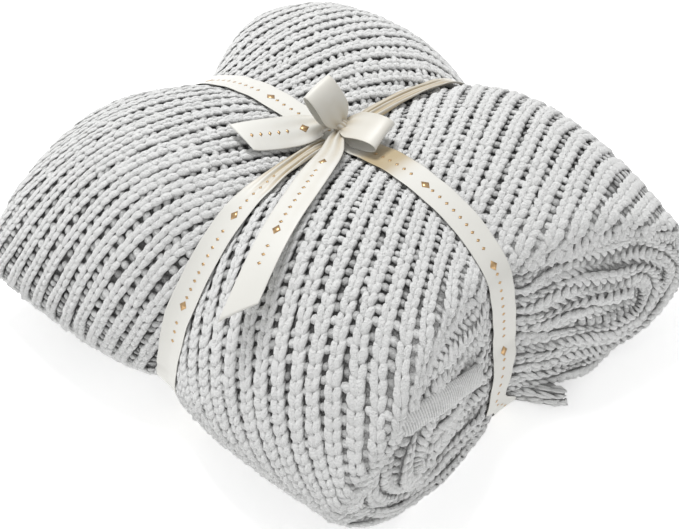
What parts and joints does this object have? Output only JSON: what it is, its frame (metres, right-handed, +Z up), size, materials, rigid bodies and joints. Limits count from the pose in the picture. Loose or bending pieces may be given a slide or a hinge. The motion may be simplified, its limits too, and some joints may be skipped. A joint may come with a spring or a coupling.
{
  "type": "folded throw blanket",
  "caption": "Chunky rib-knit throw folded into a soft four-lobed parcel and tied crosswise with a satin ribbon and bow.",
  "frame": {"origin": "middle of the parcel's footprint, on the surface that it lies on", "axes": "+X across the ribs of the knit, +Y along the ribs towards the end where the cloth folds back under, +Z up"},
  "size_m": [0.391, 0.4009, 0.2088],
  "materials": {
    "knit": "soft chenille yarn, light grey",
    "satin": "ivory satin ribbon"
  },
  "bodies": {
    "root": {"blanket": "knit", "ribbon_along": "satin", "ribbon_across": "satin", "bow": "satin"}
  },
  "joints": []
}
